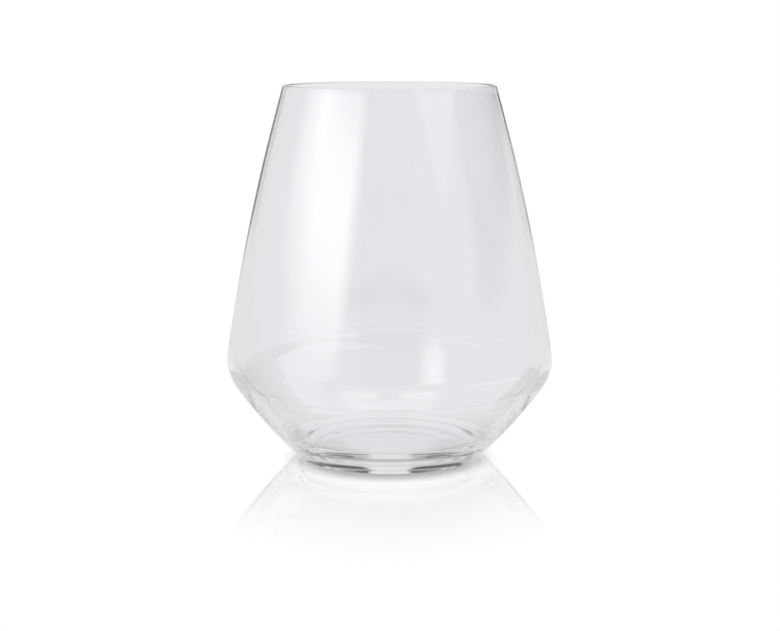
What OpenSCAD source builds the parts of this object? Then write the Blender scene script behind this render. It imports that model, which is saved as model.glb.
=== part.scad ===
// Stemless wine glass, one piece of machine made glass.
// Its section is one closed outline right of the axis, turned round +Z.
// The outline is a run of arcs that each touch the next, so no edge shows where two curves meet.
// Millimetres. The origin is the middle of the foot, on the table.

/* [Overall] */
// Height from the table to the top of the lip
glass_h = 115; // [95:1:140]
// Widest outside diameter, low on the belly
belly_d = 101.2; // [90:0.2:115]
// Outside diameter of the lip
lip_d = 65.6; // [56:0.2:80]
// Outside diameter of the foot, at the table
foot_d = 57; // [48:0.5:66]

/* [Outside curves] */
// Height of the widest ring above the table
belly_z = 30.4; // [26:0.2:38]
// Radius of the rounded belly, seen in section
belly_round = 12.7; // [9:0.1:18]
// Radius of the long curve from the belly up to the lip
side_round = 630; // [400:10:1500]
// Radius of the curve from the belly down to the foot
under_round = 148; // [110:1:300]
// Radius of the round at the edge of the foot
heel_round = 0.8; // [0.4:0.1:1.5]

/* [Wall] */
// Thickness of the lip, which is fully round
lip_t = 1; // [0.8:0.1:2]
// Thickness of the wall round the belly
belly_t = 1.5; // [1.1:0.1:2]
// Thickness of the wall just above the foot, where the round to the floor starts
foot_wall_t = 1.8; // [1.4:0.1:3]

/* [Floor inside] */
// Height of the floor above the table
floor_z = 4.5; // [3.5:0.1:6.5]
// Radius of the round between the floor and the wall
floor_round = 18; // [12:0.5:24]

/* [Hollow under the foot] */
// Width of the ring that the glass rests on, from the outside of the foot in to the hollow
rest_w = 4.5; // [3:0.1:10]
// Depth of the hollow in the middle
punt_depth = 0.8; // [0.4:0.1:1.6]

/* [Hidden] */
// Facets of a full turn
turn_facets = 180;
// Steps along one arc of the section, and along a very small one
arc_steps = 18;
edge_steps = 10;

// Direction of a vector, in degrees
function heading(v) = atan2(v[1], v[0]);

// Points along an arc from one heading to another, without its first point
function arc(centre, radius, first, last, steps) = [
    for (i = [1:steps])
        let(a = first + (last - first) * i / steps)
        centre + radius * [cos(a), sin(a)]
];

// Centre of an arc of radius big that touches two small circles.
// The small circles have radii one_r and two_r, less than zero for one that lies outside the arc.
// Way is 1 or -1 and says on which side of the line from one to two the centre lies.
function touching_centre(one, one_r, two, two_r, big, way) =
    let(
        apart = norm(two - one),
        along = (apart ^ 2 + (big - one_r) ^ 2 - (big - two_r) ^ 2) / (2 * apart),
        aside = sqrt((big - one_r) ^ 2 - along ^ 2),
        unit = (two - one) / apart
    )
    one + along * unit + way * aside * [-unit[1], unit[0]];

// Centres of the small rounds
belly_c = [belly_d / 2 - belly_round, belly_z];
lip_c = [lip_d / 2 - lip_t / 2, glass_h - lip_t / 2];

// Centres of the long arcs outside
side_c = touching_centre(belly_c, belly_round, lip_c, lip_t / 2, side_round, 1);
under_c = touching_centre(belly_c, belly_round, [foot_d / 2, 0], 0, under_round, -1);
heel_c = [under_c[0] + sqrt((under_round - heel_round) ^ 2 - (heel_round - under_c[1]) ^ 2), heel_round];

// The round at the edge of the floor keeps one foot wall away from the curve under the belly
floor_up = floor_z + floor_round;
floor_reach = under_round - foot_wall_t - floor_round;
floor_c = [under_c[0] + sqrt(floor_reach ^ 2 - (floor_up - under_c[1]) ^ 2), floor_up];

// The inside of the belly has the same centre as the outside, one wall nearer
inner_belly_round = belly_round - belly_t;
inner_side_round = side_round - belly_t;
inner_under_round = under_round - belly_t;
inner_side_c = touching_centre(belly_c, inner_belly_round, lip_c, -lip_t / 2, inner_side_round, 1);
inner_under_c = touching_centre(belly_c, inner_belly_round, floor_c, floor_round, inner_under_round, -1);

// The hollow under the foot is a slice of a ball and ends where the ring begins
punt_r = foot_d / 2 - rest_w;
punt_round = (punt_r ^ 2 + punt_depth ^ 2) / (2 * punt_depth);
punt_c = [0, punt_depth - punt_round];

// Headings at which the arcs meet
heel_end = heading(heel_c - under_c);
under_end = heading(belly_c - under_c);
side_start = heading(belly_c - side_c);
side_end = heading(lip_c - side_c);
lip_end = heading(inner_side_c - lip_c) + 360;
inner_side_start = heading(lip_c - inner_side_c);
inner_side_end = heading(belly_c - inner_side_c);
inner_under_start = heading(belly_c - inner_under_c);
inner_under_end = heading(floor_c - inner_under_c);

// From the top of the hollow out along the foot and up the outside to the lip
outside = concat(
    [[0, punt_depth]],
    arc(punt_c, punt_round, 90, heading([punt_r, 0] - punt_c), edge_steps),
    [[heel_c[0], 0]],
    arc(heel_c, heel_round, -90, heel_end, edge_steps),
    arc(under_c, under_round, heel_end, under_end, arc_steps),
    arc(belly_c, belly_round, under_end, 0, arc_steps),
    arc(belly_c, belly_round, 0, side_start, edge_steps),
    arc(side_c, side_round, side_start, side_end, arc_steps)
);

// Over the lip and down the inside to the middle of the floor
inside = concat(
    arc(lip_c, lip_t / 2, side_end, 90, edge_steps),
    arc(lip_c, lip_t / 2, 90, lip_end, edge_steps),
    arc(inner_side_c, inner_side_round, inner_side_start, inner_side_end, arc_steps),
    arc(belly_c, inner_belly_round, inner_side_end, inner_under_start, arc_steps),
    arc(inner_under_c, inner_under_round, inner_under_start, inner_under_end, arc_steps),
    arc(floor_c, floor_round, inner_under_end, -90, arc_steps),
    [[0, floor_z]]
);

// The whole glass: lip, wall, floor and foot are one piece
module glass() {
    color([0.88, 0.87, 0.90, 0.4])
        rotate_extrude($fn = turn_facets)
            polygon(concat(outside, inside));
}

glass();
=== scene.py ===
"""Stemless wine glass on a glossy white table, lit from behind in a plain pale studio.

The glass is one turned piece of clear glass. Its section is a run of arcs that touch each other,
in the same sizes as the construction model and sampled much finer. The surface inside and out has
the very slight waves of blown glass, which soften what it mirrors. The room and the table are plain
white to the eye. Light that the glass mirrors or bends sees them as a pale studio.
"""
import math

import bpy
import numpy as np
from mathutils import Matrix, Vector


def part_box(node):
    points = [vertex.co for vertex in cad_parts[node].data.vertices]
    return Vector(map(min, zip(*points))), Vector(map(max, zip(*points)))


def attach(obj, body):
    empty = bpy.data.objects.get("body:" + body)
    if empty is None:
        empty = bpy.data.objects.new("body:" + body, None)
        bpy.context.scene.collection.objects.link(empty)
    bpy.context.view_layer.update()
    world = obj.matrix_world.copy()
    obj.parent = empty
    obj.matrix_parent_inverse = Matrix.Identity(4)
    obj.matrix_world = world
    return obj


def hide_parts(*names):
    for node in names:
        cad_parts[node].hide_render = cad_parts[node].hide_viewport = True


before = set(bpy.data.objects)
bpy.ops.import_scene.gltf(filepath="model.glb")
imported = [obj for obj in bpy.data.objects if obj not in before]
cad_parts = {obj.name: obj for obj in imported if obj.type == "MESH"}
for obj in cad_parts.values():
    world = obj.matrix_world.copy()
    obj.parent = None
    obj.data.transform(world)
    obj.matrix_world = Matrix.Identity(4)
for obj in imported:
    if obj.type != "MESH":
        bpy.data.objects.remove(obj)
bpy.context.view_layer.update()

MM = 0.001

# The glass, in metres: its height and widest radius from the construction model, then its other sizes
high_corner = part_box("glass")[1]
GLASS_H = high_corner.z
BELLY_R = high_corner.x
LIP_R = 32.8 * MM
FOOT_R = 28.5 * MM
BELLY_Z = 30.4 * MM
BELLY_ROUND = 12.7 * MM
SIDE_ROUND = 630 * MM
UNDER_ROUND = 148 * MM
HEEL_ROUND = 0.8 * MM
LIP_T = 1.0 * MM
BELLY_T = 1.5 * MM
FOOT_WALL_T = 1.8 * MM
FLOOR_Z = 4.5 * MM
FLOOR_ROUND = 18 * MM
PUNT_R = 24 * MM
PUNT_DEPTH = 0.8 * MM

# Clear soda lime glass, with a faint cool cast
GLASS_TINT = "#fdfdff"
GLASS_IOR = 1.52

# How finely the turned surface is sampled
TURN_STEPS = 288
LONG_STEPS = 40
ROUND_STEPS = 28
EDGE_STEPS = 10
FLAT_STEPS = 8

# The waves of blown glass: how deep, how far up the wall one radian of the longest goes, how many go
# round it, the number round it that halves their length up the wall, and how near an edge they fade
WAVE_DEPTH = 0.03 * MM
WAVE_HIGH = 24 * MM
WAVE_TURNS = (1, 2, 3, 5, 7)
WAVE_HALVED_AT = 5
WAVE_SEED = 7
WAVE_FADE = 9 * MM

# Fine rings that the mould leaves low on its two sides, with a slow sway, and where they begin and end
RIPPLE_PITCH = 1.8 * MM
RIPPLE_DEPTH = 0.035 * MM
RIPPLE_LOW = 3 * MM
RIPPLE_HIGH = 7 * MM
RIPPLE_EDGE = 1 * MM
RIPPLE_SWAY = 1.2 * MM
RIPPLE_SIDE = 24 * MM
RIPPLE_SIDE_SOFT = 3 * MM
RIPPLE_PATCH = 20 * MM

# The camera, fitted to the outline of the glass in the photograph
PHOTO_W = 780
SENSOR_MM = 36
CAMERA_BACK = 553.6 * MM
CAMERA_ASIDE = 0.12 * MM
CAMERA_UP = 133.9 * MM
CAMERA_TILT_DEG = 9.26
CAMERA_CLIP = 10 * MM
FOCAL_PIXELS = 1800

# The room as the glass sees it. Azimuths are from straight behind the glass for the back wall, the
# black cards and the room, and from the camera for the lamps. Right is positive, angles are in degrees.
WALL_LIGHT = 0.83
WALL_FULL = 12
WALL_NONE = 15.5
WALL_LEAN = 0.8
WALL_TOP_FULL = 40
WALL_TOP_NONE = 60
SIDE_LIGHT = 0.72
FRONT_LIGHT = 0.46
FRONT_FROM = 150
FRONT_TO = 172

# A black card each side of the back wall, which draws the thin dark outline. It widens upward. The
# right one ends a little above the table, and the lift keeps that end off the left one. The far table
# has a painted reflection of both, from a narrower edge on, as if from just under the horizon.
CARD_LIGHT = 0.12
CARD_EDGE = 22
CARD_SOFT = 3
CARD_LEAN = 2
CARD_LEAN_FROM = 7
CARD_LEAN_TO = 14
CARD_TOP = 42
CARD_TOP_SOFT = 10
CARD_RIGHT_NONE = -2.5
CARD_RIGHT_FULL = 0.5
CARD_LEFT_LIFT = 90.0
CARD_REFLECTION_EDGE = 16
CARD_REFLECTION_DOWN = -1.0

# A tall soft box on the left. Light from it that went through the glass counts for less.
LEFT_LIGHT = 4.9
LEFT_THROUGH = 1
LEFT_FROM = -86
LEFT_TO = -36
LEFT_LOW = 6
LEFT_LOW_SOFT = 10
LEFT_HIGH = 28
LEFT_SOFT = 8
LEFT_OUT_SOFT = 28
LEFT_LEAN_OUT = -0.3
LEFT_LEAN_IN = 0.45
LEFT_LEAN_FROM = 5
LEFT_TOP_SOFT = 9

# A lamp on the right that hangs with its point down: how far its sides lean for each degree up
RIGHT_LIGHT = 1.1
RIGHT_POINT = 47
RIGHT_LOW = 16.3
RIGHT_HIGH = 52
RIGHT_LEAN_IN = -1.4
RIGHT_LEAN_OUT = 4.0
RIGHT_SOFT = 2

# A dark flag along the right side
FLAG_DARK = 0.75
FLAG_FROM = 30
FLAG_TO = 108
FLAG_SOFT = 8
FLAG_LOW = 6
FLAG_LOW_SOFT = 3
FLAG_HIGH = 33

# A low window on the right, and the pale ceiling
WINDOW_LIGHT = 2.1
WINDOW_FROM = 22
WINDOW_TO = 40
WINDOW_TOP = 7.5
WINDOW_SOFT = 8
WINDOW_TOP_SOFT = 2
CEILING_LIGHT = 0.68
CEILING_FROM = 52
CEILING_SOFT = 12

# The table as the glass sees it. Azimuths are from straight behind the glass, with 180 towards the
# camera, and reaches are from the axis of the glass.
TABLE_LIGHT = 0.83
TABLE_Z = -0.05 * MM
TABLE_HALF = 1500 * MM
FAR_TABLE = 900 * MM
FAR_TABLE_SOFT = 300 * MM

# A pool of lamp light on each side
RIGHT_POOL = 1.2
RIGHT_POOL_FROM = 84
RIGHT_POOL_TO = 138
LEFT_POOL = 1.0
LEFT_POOL_FROM = -138
LEFT_POOL_TO = -102
POOL_SOFT = 9
POOL_NEAR = 135 * MM
POOL_FAR = 250 * MM
POOL_EDGE = 50 * MM

# Two pools towards the camera, which only the outer face of the glass mirrors: a wide one on both
# sides of the middle, and one close to the foot
FRONT_POOL = 2.6
FRONT_POOL_FROM = 153
FRONT_POOL_TO = 175
FRONT_POOL_SOFT = 6
FRONT_POOL_NEAR = 70 * MM
FRONT_POOL_FAR = 150 * MM
FRONT_POOL_EDGE = 40 * MM
NEAR_POOL = 1.9
NEAR_POOL_FROM = 157
NEAR_POOL_NEAR = 54 * MM
NEAR_POOL_FAR = 84 * MM
NEAR_POOL_EDGE = 8 * MM

# Shades: the shadow round the front of the foot, a dark ring in it that the thick glass draws out into
# arcs, the shadow of the belly behind the glass, and a faint one over the far sides
FOOT_SHADE = 0.48
FOOT_SHADE_FROM = 112
FOOT_SHADE_SOFT = 15
FOOT_SHADE_INNER = 25 * MM
FOOT_SHADE_OUTER = 44 * MM
TOE_SHADE = 0.85
TOE_SHADE_FROM = 122
TOE_SHADE_TO = 166
TOE_SHADE_SOFT = 5
TOE_SHADE_INNER = 28.5 * MM
TOE_SHADE_OUTER = 34.5 * MM
TOE_SHADE_EDGE = 0.8 * MM
BELLY_SHADE = 0.2
BELLY_SHADE_FROM = 41
BELLY_SHADE_TO = 84
BELLY_SHADE_SOFT = 7
BELLY_SHADE_NEAR = 64 * MM
BELLY_SHADE_FAR = 145 * MM
SHADE_EDGE = 4 * MM
SIDE_SHADE = 0.07
SIDE_SHADE_FROM = 18
SIDE_SHADE_SOFT = 4
SIDE_SHADE_NEAR = 220 * MM

# The table as the camera sees it: a hair over white, so that no noise shows, a mirror that fades with
# distance from the glass, sooner to the sides, and is weaker near the foot, and a shade under the foot
WHITE = "#ffffff"
TABLE_WHITE = 1.003
MIRROR_SHARE = 0.42
MIRROR_FULL = 65 * MM
MIRROR_NONE = 130 * MM
MIRROR_NARROW = 2
MIRROR_CLEAR = 0.6
MIRROR_CLEAR_FULL = 48 * MM
MIRROR_CLEAR_NONE = 70 * MM
MIRROR_ROUGH = 0.05
CONTACT_DARK = 0.62
CONTACT_FULL = 23 * MM
CONTACT_NONE = 35 * MM
CONTACT_AHEAD = 5 * MM

# Light passes many times through thick clear glass before it leaves
MOST_BOUNCES = 200

# Counts of bounces are whole, so a limit lies half way between two of them
UNDER_ONE = 0.5
UNDER_TWO = 1.5


def heading(vector):
    """Direction of a vector in the section's plane, in radians."""
    return math.atan2(vector[1], vector[0])


def arc(centre, radius, first, last, steps):
    """Points at equal angles on a circle from heading first to heading last, without the first point."""
    angle = np.linspace(first, last, steps + 1)[1:]
    return np.asarray(centre) + radius * np.stack([np.cos(angle), np.sin(angle)], axis=1)


def straight(start, end, steps):
    """Points at equal distances on a line from start to end, without the first point."""
    share = np.linspace(0, 1, steps + 1)[1:, None]
    return np.asarray(start) + share * (np.asarray(end) - np.asarray(start))


def touching_centre(one, one_r, two, two_r, big, way):
    """Centre of an arc of radius big that touches two small circles from inside.

    The centre lies at big less each small radius from the two small centres, so it is the third
    corner of a triangle with three known sides. A radius below zero is a circle outside the arc.
    """
    one, two = np.asarray(one), np.asarray(two)
    apart = np.linalg.norm(two - one)
    along = (apart**2 + (big - one_r) ** 2 - (big - two_r) ** 2) / (2 * apart)
    aside = math.sqrt((big - one_r) ** 2 - along**2)
    unit = (two - one) / apart
    return one + along * unit + way * aside * np.array([-unit[1], unit[0]])


def glass_section():
    """The closed outline of the glass right of its axis, as radius and height, from the hollow under
    the foot out, up the outside, over the lip and down the inside to the middle of the floor."""
    belly_c = np.array([BELLY_R - BELLY_ROUND, BELLY_Z])
    lip_c = np.array([LIP_R - LIP_T / 2, GLASS_H - LIP_T / 2])
    side_c = touching_centre(belly_c, BELLY_ROUND, lip_c, LIP_T / 2, SIDE_ROUND, 1)
    under_c = touching_centre(belly_c, BELLY_ROUND, [FOOT_R, 0], 0, UNDER_ROUND, -1)
    heel_x = under_c[0] + math.sqrt((UNDER_ROUND - HEEL_ROUND) ** 2 - (HEEL_ROUND - under_c[1]) ** 2)
    heel_c = np.array([heel_x, HEEL_ROUND])
    floor_up = FLOOR_Z + FLOOR_ROUND
    floor_reach = UNDER_ROUND - FOOT_WALL_T - FLOOR_ROUND
    floor_c = np.array([under_c[0] + math.sqrt(floor_reach**2 - (floor_up - under_c[1]) ** 2), floor_up])
    inner_belly_round = BELLY_ROUND - BELLY_T
    inner_side_round = SIDE_ROUND - BELLY_T
    inner_under_round = UNDER_ROUND - BELLY_T
    inner_side_c = touching_centre(belly_c, inner_belly_round, lip_c, -LIP_T / 2, inner_side_round, 1)
    inner_under_c = touching_centre(belly_c, inner_belly_round, floor_c, FLOOR_ROUND, inner_under_round, -1)
    punt_round = (PUNT_R**2 + PUNT_DEPTH**2) / (2 * PUNT_DEPTH)
    punt_c = np.array([0, PUNT_DEPTH - punt_round])
    quarter = math.pi / 2
    punt_end = heading([PUNT_R, 0] - punt_c)
    heel_end = heading(heel_c - under_c)
    under_end = heading(belly_c - under_c)
    side_start = heading(belly_c - side_c)
    side_end = heading(lip_c - side_c)
    lip_end = heading(inner_side_c - lip_c) + 4 * quarter
    down_start = heading(lip_c - inner_side_c)
    down_end = heading(belly_c - inner_side_c)
    in_start = heading(belly_c - inner_under_c)
    in_end = heading(floor_c - inner_under_c)
    return np.concatenate([
        [[0, PUNT_DEPTH]],
        arc(punt_c, punt_round, quarter, punt_end, ROUND_STEPS),
        straight([PUNT_R, 0], [heel_c[0], 0], FLAT_STEPS),
        arc(heel_c, HEEL_ROUND, -quarter, heel_end, EDGE_STEPS),
        arc(under_c, UNDER_ROUND, heel_end, under_end, LONG_STEPS),
        arc(belly_c, BELLY_ROUND, under_end, 0, ROUND_STEPS),
        arc(belly_c, BELLY_ROUND, 0, side_start, EDGE_STEPS),
        arc(side_c, SIDE_ROUND, side_start, side_end, LONG_STEPS),
        arc(lip_c, LIP_T / 2, side_end, quarter, EDGE_STEPS),
        arc(lip_c, LIP_T / 2, quarter, lip_end, EDGE_STEPS),
        arc(inner_side_c, inner_side_round, down_start, down_end, LONG_STEPS),
        arc(belly_c, inner_belly_round, down_end, in_start, ROUND_STEPS),
        arc(inner_under_c, inner_under_round, in_start, in_end, LONG_STEPS),
        arc(floor_c, FLOOR_ROUND, in_end, -quarter, ROUND_STEPS),
        straight([floor_c[0], FLOOR_Z], [0, FLOOR_Z], FLAT_STEPS),
    ])


def turned_points(section, angle):
    """Rings of points: section point i turned by angle j about Z, less the wave into the glass there.

    The outward normal of the section is its tangent turned by a quarter. The wave is a sum of terms,
    one for each number of turns k in WAVE_TURNS: cos(k angle + a) times cos(length / WAVE_HIGH times
    (1 + k / WAVE_HALVED_AT) + b), with seeded random a and b and length along the section. It is scaled
    to lie between nothing and WAVE_DEPTH, so the glass only gets thinner. It fades to nothing within
    WAVE_FADE of the axis, the table, the lip and the widest ring, so the overall size stays.
    """
    rng = np.random.default_rng(WAVE_SEED)
    length = np.concatenate([[0], np.cumsum(np.linalg.norm(np.diff(section, axis=0), axis=1))])
    tangent = np.gradient(section, length, axis=0)
    tangent /= np.linalg.norm(tangent, axis=1)[:, None]
    outward = np.stack([tangent[:, 1], -tangent[:, 0]], axis=1)
    wave = np.zeros((len(section), len(angle)))
    for turns in WAVE_TURNS:
        round_phase, up_phase = rng.uniform(0, 2 * np.pi, 2)
        up_wall = np.cos(length / WAVE_HIGH * (1 + turns / WAVE_HALVED_AT) + up_phase)
        wave += np.cos(turns * angle + round_phase) * up_wall[:, None]
    wave = 0.5 + 0.5 * wave / np.abs(wave).max()
    to_edge = np.min([section[:, 0], section[:, 1], GLASS_H - section[:, 1]], axis=0)
    to_belly = np.hypot(section[:, 0] - BELLY_R, section[:, 1] - BELLY_Z)
    fade = np.clip(np.minimum(to_edge, to_belly) / WAVE_FADE, 0, 1)
    fade = fade**2 * (3 - 2 * fade)
    depth = WAVE_DEPTH * wave * fade[:, None]
    radius = section[:, :1] - depth * outward[:, :1]
    height = section[:, 1:] - depth * outward[:, 1:]
    return np.stack([radius * np.cos(angle), radius * np.sin(angle), height], axis=2)


def turned_piece(name, section, steps):
    """A closed surface of revolution with steps sides. Each four points next to each other, on two rings
    and at two angles, make a face. The first and last section points lie on the axis and become single
    vertices, each joined to its ring by a fan of triangles."""
    angle = 2 * np.pi * np.arange(steps) / steps
    points = turned_points(section, angle)[1:-1].reshape(-1, 3)
    ends = np.array([[0, 0, section[0, 1]], [0, 0, section[-1, 1]]])
    rings = len(section) - 2
    ring = np.arange(rings - 1)[:, None] * steps
    here = np.arange(steps)
    after = (here + 1) % steps
    quads = np.stack([ring + here, ring + after, ring + steps + after, ring + steps + here], axis=2)
    first_end = np.full(steps, len(points))
    last_end = first_end + 1
    last_ring = (rings - 1) * steps
    start_fan = np.stack([first_end, after, here], axis=1)
    end_fan = np.stack([last_end, last_ring + here, last_ring + after], axis=1)
    faces = quads.reshape(-1, 4).tolist() + start_fan.tolist() + end_fan.tolist()
    mesh = bpy.data.meshes.new(name)
    mesh.from_pydata(np.concatenate([points, ends]).tolist(), [], faces)
    mesh.update()
    mesh.shade_smooth()
    piece = bpy.data.objects.new(name, mesh)
    bpy.context.scene.collection.objects.link(piece)
    return piece


def linear(hex_colour):
    """An sRGB hex colour as linear red, green, blue and alpha, by the sRGB curve."""
    channel = np.array([int(hex_colour[i:i + 2], 16) for i in (1, 3, 5)]) / 255
    value = np.where(channel <= 0.04045, channel / 12.92, ((channel + 0.055) / 1.055) ** 2.4)
    return (*value.tolist(), 1.0)


def add_node(tree, kind, settings=None, **inputs):
    """Adds a node, sets its properties, and sets or links each input, named or as i and its number."""
    node = tree.nodes.new(kind)
    for key, value in (settings or {}).items():
        setattr(node, key, value)
    for key, value in inputs.items():
        numbered = key[0] == "i" and key[1:].isdigit()
        socket = node.inputs[int(key[1:]) if numbered else key.replace("_", " ")]
        if isinstance(value, bpy.types.NodeSocket):
            tree.links.new(value, socket)
        else:
            socket.default_value = value
    return node


def bounded(tree, value, sides):
    """A value times a smooth step for each side. A side is a place, where there is none of the value and
    where there is all of it."""
    for place, none, full in sides:
        step = add_node(tree, "ShaderNodeMapRange", {"interpolation_type": "SMOOTHSTEP"}, Value=place,
                        From_Min=none, From_Max=full).outputs["Result"]
        value = add_node(tree, "ShaderNodeMath", {"operation": "MULTIPLY"}, i0=value, i1=step).outputs[0]
    return value


def above(place, low, soft):
    """A side for bounded, none under low and all over it, with a soft step across it."""
    return place, low - soft, low + soft


def below(place, high, soft):
    """A side for bounded, all under high and none over it, with a soft step across it."""
    return place, high + soft, high - soft


def soda_lime_glass():
    """Soda lime glass, blown in a mould and fire polished: clear and fully smooth, so the eye finds it
    only by what it mirrors and bends. A trace of decolouriser gives it a faint cool cast. The mould
    leaves fine rings low on its two sides, which break the light there into thin lines."""
    material = bpy.data.materials.new("soda_lime_glass")
    material.use_nodes = True
    tree = material.node_tree
    tree.nodes.clear()
    place = add_node(tree, "ShaderNodeTexCoord").outputs["Object"]
    parts = add_node(tree, "ShaderNodeSeparateXYZ", Vector=place).outputs
    height = parts["Z"]
    aside = add_node(tree, "ShaderNodeMath", {"operation": "ABSOLUTE"}, i0=parts["X"]).outputs[0]
    patch = add_node(tree, "ShaderNodeTexNoise", Vector=place, Scale=1 / RIPPLE_PATCH,
                     Detail=1.0).outputs[0]
    swayed = add_node(tree, "ShaderNodeMath", {"operation": "MULTIPLY_ADD"}, i0=patch, i1=RIPPLE_SWAY,
                      i2=height).outputs[0]
    phase = add_node(tree, "ShaderNodeMath", {"operation": "MULTIPLY"}, i0=swayed,
                     i1=2 * math.pi / RIPPLE_PITCH).outputs[0]
    ring = add_node(tree, "ShaderNodeMath", {"operation": "SINE"}, i0=phase).outputs[0]
    deep = add_node(tree, "ShaderNodeMath", {"operation": "MULTIPLY"}, i0=ring, i1=RIPPLE_DEPTH).outputs[0]
    relief = bounded(tree, deep, [
        above(height, RIPPLE_LOW, RIPPLE_EDGE),
        below(height, RIPPLE_HIGH, RIPPLE_EDGE),
        above(aside, RIPPLE_SIDE, RIPPLE_SIDE_SOFT),
    ])
    bump = add_node(tree, "ShaderNodeBump", Strength=1.0, Distance=1.0, Height=relief).outputs["Normal"]
    shader = add_node(tree, "ShaderNodeBsdfPrincipled", Base_Color=linear(GLASS_TINT), Roughness=0.0,
                      IOR=GLASS_IOR, Transmission_Weight=1.0, Normal=bump)
    output = add_node(tree, "ShaderNodeOutputMaterial")
    tree.links.new(shader.outputs["BSDF"], output.inputs["Surface"])
    return material


def brightest(tree, lights):
    """The largest of several lights."""
    most = lights[0]
    for light in lights[1:]:
        most = add_node(tree, "ShaderNodeMath", {"operation": "MAXIMUM"}, i0=most, i1=light).outputs[0]
    return most


def darkened(tree, light, share):
    """A light less a share of itself."""
    taken = add_node(tree, "ShaderNodeMath", {"operation": "MULTIPLY"}, i0=light, i1=share).outputs[0]
    return add_node(tree, "ShaderNodeMath", {"operation": "SUBTRACT"}, i0=light, i1=taken).outputs[0]


def turn(tree, x, y):
    """The level angle in degrees from the way that y points to a direction, right positive."""
    angle = add_node(tree, "ShaderNodeMath", {"operation": "ARCTAN2"}, i0=x, i1=y).outputs[0]
    return add_node(tree, "ShaderNodeMath", {"operation": "DEGREES"}, i0=angle).outputs[0]


def leaning(tree, azimuth, elevation, low, lean):
    """The azimuth less lean degrees for each degree of elevation above low."""
    shift = add_node(tree, "ShaderNodeMath", {"operation": "MULTIPLY_ADD"}, i0=elevation, i1=-lean,
                     i2=low * lean).outputs[0]
    return add_node(tree, "ShaderNodeMath", {"operation": "ADD"}, i0=azimuth, i1=shift).outputs[0]


def card_side(tree, azimuth, elevation, lean):
    """How far to the side a direction is for an edge of the cards that leans between two elevations."""
    behind = add_node(tree, "ShaderNodeMath", {"operation": "ABSOLUTE"}, i0=azimuth).outputs[0]
    height = add_node(tree, "ShaderNodeClamp", Value=elevation, Min=float(CARD_LEAN_FROM),
                      Max=float(CARD_LEAN_TO)).outputs[0]
    return leaning(tree, behind, height, CARD_LEAN_FROM, lean)


def black_cards(tree, azimuth, elevation):
    """How much of the room's light the black cards take in a direction."""
    outer = card_side(tree, azimuth, elevation, CARD_LEAN)
    on_left = add_node(tree, "ShaderNodeMath", {"operation": "LESS_THAN"}, i0=azimuth, i1=0.0).outputs[0]
    right_end = add_node(tree, "ShaderNodeMath", {"operation": "MULTIPLY_ADD"}, i0=on_left,
                         i1=CARD_LEFT_LIFT, i2=elevation).outputs[0]
    return bounded(tree, 1 - CARD_LIGHT, [
        below(outer, CARD_EDGE, CARD_SOFT),
        below(elevation, CARD_TOP, CARD_TOP_SOFT),
        (right_end, CARD_RIGHT_NONE, CARD_RIGHT_FULL),
    ])


def unbent(tree):
    """One for light that the eye has straight off a surface, none for light that went through the glass."""
    depth = add_node(tree, "ShaderNodeLightPath").outputs["Transmission Depth"]
    return add_node(tree, "ShaderNodeMath", {"operation": "LESS_THAN"}, i0=depth, i1=UNDER_ONE).outputs[0]


def once_mirrored(tree):
    """One for light that went from the table to an outer face of the glass and straight on to the eye,
    none for other light."""
    depth = add_node(tree, "ShaderNodeLightPath").outputs["Ray Depth"]
    first = add_node(tree, "ShaderNodeMath", {"operation": "LESS_THAN"}, i0=depth, i1=UNDER_TWO).outputs[0]
    return add_node(tree, "ShaderNodeMath", {"operation": "MULTIPLY"}, i0=first, i1=unbent(tree)).outputs[0]


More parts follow.
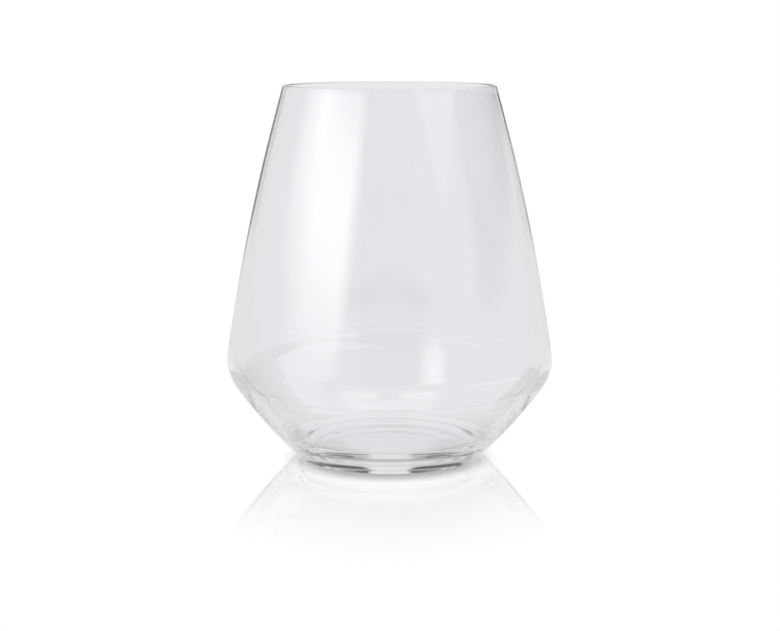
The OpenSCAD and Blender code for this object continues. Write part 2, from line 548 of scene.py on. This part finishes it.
def studio_world():
    """The room: white to the eye and to the table's mirror. The glass sees a pale back wall between two
    black cards, pale sides, a dimmer front and a ceiling, with a tall soft box on the left, and a dark
    flag, a pointed lamp and a low window on the right."""
    world = bpy.data.worlds.new("studio")
    bpy.context.scene.world = world
    world.use_nodes = True
    tree = world.node_tree
    tree.nodes.clear()
    direction = add_node(tree, "ShaderNodeTexCoord").outputs["Generated"]
    x, y, z = add_node(tree, "ShaderNodeSeparateXYZ", Vector=direction).outputs
    rise = add_node(tree, "ShaderNodeMath", {"operation": "ARCSINE"}, i0=z).outputs[0]
    elevation = add_node(tree, "ShaderNodeMath", {"operation": "DEGREES"}, i0=rise).outputs[0]
    from_behind = turn(tree, x, y)
    behind = add_node(tree, "ShaderNodeMath", {"operation": "ABSOLUTE"}, i0=from_behind).outputs[0]
    forward = add_node(tree, "ShaderNodeMath", {"operation": "MULTIPLY"}, i0=y, i1=-1.0).outputs[0]
    from_camera = turn(tree, x, forward)
    inner_side = leaning(tree, from_camera, elevation, RIGHT_LOW, RIGHT_LEAN_IN)
    outer_side = leaning(tree, from_camera, elevation, RIGHT_LOW, RIGHT_LEAN_OUT)
    left_outer = leaning(tree, from_camera, elevation, LEFT_LEAN_FROM, LEFT_LEAN_OUT)
    left_inner = leaning(tree, from_camera, elevation, LEFT_LEAN_FROM, LEFT_LEAN_IN)
    straight_off = unbent(tree)
    left_light = add_node(tree, "ShaderNodeMath", {"operation": "MULTIPLY_ADD"}, i0=straight_off,
                          i1=LEFT_LIGHT - LEFT_THROUGH, i2=LEFT_THROUGH).outputs[0]
    right_flag = bounded(tree, FLAG_DARK, [
        above(from_behind, FLAG_FROM, FLAG_SOFT),
        below(from_behind, FLAG_TO, FLAG_SOFT),
        above(elevation, FLAG_LOW, FLAG_LOW_SOFT),
        below(elevation, FLAG_HIGH, FLAG_SOFT),
    ])
    pale_room = brightest(tree, [FRONT_LIGHT, bounded(tree, SIDE_LIGHT, [(behind, FRONT_TO, FRONT_FROM)])])
    light = brightest(tree, [
        darkened(tree, darkened(tree, pale_room, black_cards(tree, from_behind, elevation)), right_flag),
        bounded(tree, WALL_LIGHT, [
            (card_side(tree, from_behind, elevation, -WALL_LEAN), WALL_NONE, WALL_FULL),
            (elevation, WALL_TOP_NONE, WALL_TOP_FULL),
        ]),
        bounded(tree, left_light, [
            above(left_outer, LEFT_FROM, LEFT_OUT_SOFT),
            below(left_inner, LEFT_TO, LEFT_SOFT),
            above(elevation, LEFT_LOW, LEFT_LOW_SOFT),
            below(elevation, LEFT_HIGH, LEFT_TOP_SOFT),
        ]),
        bounded(tree, RIGHT_LIGHT, [
            above(inner_side, RIGHT_POINT, RIGHT_SOFT),
            below(outer_side, RIGHT_POINT, RIGHT_SOFT),
            (elevation, RIGHT_LOW, RIGHT_LOW + RIGHT_SOFT),
            below(elevation, RIGHT_HIGH, RIGHT_SOFT),
        ]),
        bounded(tree, WINDOW_LIGHT, [
            above(from_camera, WINDOW_FROM, WINDOW_SOFT),
            below(from_camera, WINDOW_TO, WINDOW_SOFT),
            below(elevation, WINDOW_TOP, WINDOW_TOP_SOFT),
        ]),
        bounded(tree, CEILING_LIGHT, [above(elevation, CEILING_FROM, CEILING_SOFT)]),
    ])
    by_glass = add_node(tree, "ShaderNodeLightPath").outputs["Is Singular Ray"]
    strength = add_node(tree, "ShaderNodeMix", {"data_type": "FLOAT"}, i0=by_glass, i2=1.0,
                        i3=light).outputs[0]
    background = add_node(tree, "ShaderNodeBackground", Color=linear(WHITE), Strength=strength)
    output = add_node(tree, "ShaderNodeOutputWorld")
    tree.links.new(background.outputs[0], output.inputs["Surface"])


def white_acrylic():
    """Polished white acrylic: to the eye pure white, with a soft mirror that fades with distance from the
    glass. It mirrors a white room, so it only shows where it mirrors the glass. What the glass sees of
    it has pools of lamp light and shades, which give the clear walls and the foot their form."""
    material = bpy.data.materials.new("white_acrylic")
    material.use_nodes = True
    tree = material.node_tree
    tree.nodes.clear()
    place = add_node(tree, "ShaderNodeTexCoord").outputs["Object"]
    parts = add_node(tree, "ShaderNodeSeparateXYZ", Vector=place).outputs
    reach = add_node(tree, "ShaderNodeVectorMath", {"operation": "LENGTH"}, i0=place).outputs["Value"]
    azimuth = turn(tree, parts["X"], parts["Y"])
    behind = add_node(tree, "ShaderNodeMath", {"operation": "ABSOLUTE"}, i0=azimuth).outputs[0]
    foot_shade = bounded(tree, FOOT_SHADE, [
        above(behind, FOOT_SHADE_FROM, FOOT_SHADE_SOFT),
        above(reach, FOOT_SHADE_INNER, SHADE_EDGE),
        below(reach, FOOT_SHADE_OUTER, SHADE_EDGE),
    ])
    toe_shade = bounded(tree, TOE_SHADE, [
        above(behind, TOE_SHADE_FROM, TOE_SHADE_SOFT),
        below(behind, TOE_SHADE_TO, TOE_SHADE_SOFT),
        above(reach, TOE_SHADE_INNER, TOE_SHADE_EDGE),
        below(reach, TOE_SHADE_OUTER, TOE_SHADE_EDGE),
    ])
    belly_shade = bounded(tree, BELLY_SHADE, [
        above(behind, BELLY_SHADE_FROM, BELLY_SHADE_SOFT),
        below(behind, BELLY_SHADE_TO, BELLY_SHADE_SOFT),
        above(reach, BELLY_SHADE_NEAR, SHADE_EDGE),
        below(reach, BELLY_SHADE_FAR, SHADE_EDGE),
    ])
    side_shade = bounded(tree, SIDE_SHADE, [
        above(behind, SIDE_SHADE_FROM, SIDE_SHADE_SOFT),
        above(reach, SIDE_SHADE_NEAR, POOL_EDGE),
    ])
    for_outer_face = once_mirrored(tree)
    front_pool = add_node(tree, "ShaderNodeMath", {"operation": "MULTIPLY"}, i0=for_outer_face,
                          i1=FRONT_POOL).outputs[0]
    near_pool = add_node(tree, "ShaderNodeMath", {"operation": "MULTIPLY"}, i0=for_outer_face,
                         i1=NEAR_POOL).outputs[0]
    # Painted reflection of the black cards: the far table's glow is darker where it would mirror them
    painted_card_reflection = bounded(tree, black_cards(tree, azimuth, CARD_REFLECTION_DOWN), [
        above(behind, CARD_REFLECTION_EDGE, CARD_SOFT),
        above(reach, FAR_TABLE, FAR_TABLE_SOFT),
    ])
    pool_ring = [
        above(reach, POOL_NEAR, POOL_EDGE),
        below(reach, POOL_FAR, POOL_EDGE),
    ]
    plain = TABLE_LIGHT
    for shade in (foot_shade, toe_shade, belly_shade, side_shade, painted_card_reflection):
        plain = darkened(tree, plain, shade)
    lit = brightest(tree, [
        plain,
        bounded(tree, near_pool, [
            above(behind, NEAR_POOL_FROM, FRONT_POOL_SOFT),
            above(reach, NEAR_POOL_NEAR, NEAR_POOL_EDGE),
            below(reach, NEAR_POOL_FAR, NEAR_POOL_EDGE),
        ]),
        bounded(tree, front_pool, [
            above(behind, FRONT_POOL_FROM, FRONT_POOL_SOFT),
            below(behind, FRONT_POOL_TO, FRONT_POOL_SOFT),
            above(reach, FRONT_POOL_NEAR, FRONT_POOL_EDGE),
            below(reach, FRONT_POOL_FAR, FRONT_POOL_EDGE),
        ]),
        bounded(tree, RIGHT_POOL, pool_ring + [
            above(azimuth, RIGHT_POOL_FROM, POOL_SOFT),
            below(azimuth, RIGHT_POOL_TO, POOL_SOFT),
        ]),
        bounded(tree, LEFT_POOL, pool_ring + [
            above(azimuth, LEFT_POOL_FROM, POOL_SOFT),
            below(azimuth, LEFT_POOL_TO, POOL_SOFT),
        ]),
    ])
    narrow = add_node(tree, "ShaderNodeVectorMath", {"operation": "MULTIPLY"}, i0=place,
                      i1=(MIRROR_NARROW, 1, 1)).outputs[0]
    mirror_reach = add_node(tree, "ShaderNodeVectorMath", {"operation": "LENGTH"},
                            i0=narrow).outputs["Value"]
    clear = bounded(tree, MIRROR_CLEAR, [(mirror_reach, MIRROR_CLEAR_NONE, MIRROR_CLEAR_FULL)])
    share = darkened(tree, bounded(tree, MIRROR_SHARE, [(mirror_reach, MIRROR_NONE, MIRROR_FULL)]), clear)
    ahead = add_node(tree, "ShaderNodeVectorMath", {"operation": "DISTANCE"}, i0=place,
                     i1=(0, -CONTACT_AHEAD, 0)).outputs["Value"]
    contact = bounded(tree, CONTACT_DARK, [(ahead, CONTACT_NONE, CONTACT_FULL)])
    glow = add_node(tree, "ShaderNodeEmission", Color=linear(WHITE),
                    Strength=darkened(tree, TABLE_WHITE, contact))
    mirror = add_node(tree, "ShaderNodeBsdfAnisotropic", Color=linear(WHITE), Roughness=MIRROR_ROUGH)
    to_eye = add_node(tree, "ShaderNodeMixShader", Fac=share, i1=glow.outputs[0], i2=mirror.outputs[0])
    to_glass = add_node(tree, "ShaderNodeEmission", Color=linear(WHITE), Strength=lit)
    seen = add_node(tree, "ShaderNodeLightPath").outputs["Is Camera Ray"]
    surface = add_node(tree, "ShaderNodeMixShader", Fac=seen, i1=to_glass.outputs[0], i2=to_eye.outputs[0])
    output = add_node(tree, "ShaderNodeOutputMaterial")
    tree.links.new(surface.outputs[0], output.inputs["Surface"])
    return material


def table():
    """The level table top, just under the foot."""
    corners = [(x * TABLE_HALF, y * TABLE_HALF, TABLE_Z) for x, y in ((-1, -1), (1, -1), (1, 1), (-1, 1))]
    mesh = bpy.data.meshes.new("table")
    mesh.from_pydata(corners, [], [(0, 1, 2, 3)])
    top = bpy.data.objects.new("table", mesh)
    bpy.context.scene.collection.objects.link(top)
    top.data.materials.append(white_acrylic())


def photo_camera():
    """The camera at the photograph's place: level, tilted down, and all but on the glass's axis."""
    data = bpy.data.cameras.new("camera")
    data.sensor_width = SENSOR_MM
    data.lens = FOCAL_PIXELS / PHOTO_W * SENSOR_MM
    data.clip_start = CAMERA_CLIP
    camera = bpy.data.objects.new("camera", data)
    camera.location = (CAMERA_ASIDE, -CAMERA_BACK, CAMERA_UP)
    camera.rotation_euler = (math.radians(90 - CAMERA_TILT_DEG), 0, 0)
    bpy.context.scene.collection.objects.link(camera)
    bpy.context.scene.camera = camera


glass = turned_piece("glass_body", glass_section(), TURN_STEPS)
glass.data.materials.append(soda_lime_glass())
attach(glass, "root")
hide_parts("glass")

studio_world()
table()
photo_camera()
scene = bpy.context.scene
scene.view_settings.view_transform = "Standard"
scene.cycles.max_bounces = MOST_BOUNCES
scene.cycles.transmission_bounces = MOST_BOUNCES
scene.cycles.glossy_bounces = MOST_BOUNCES
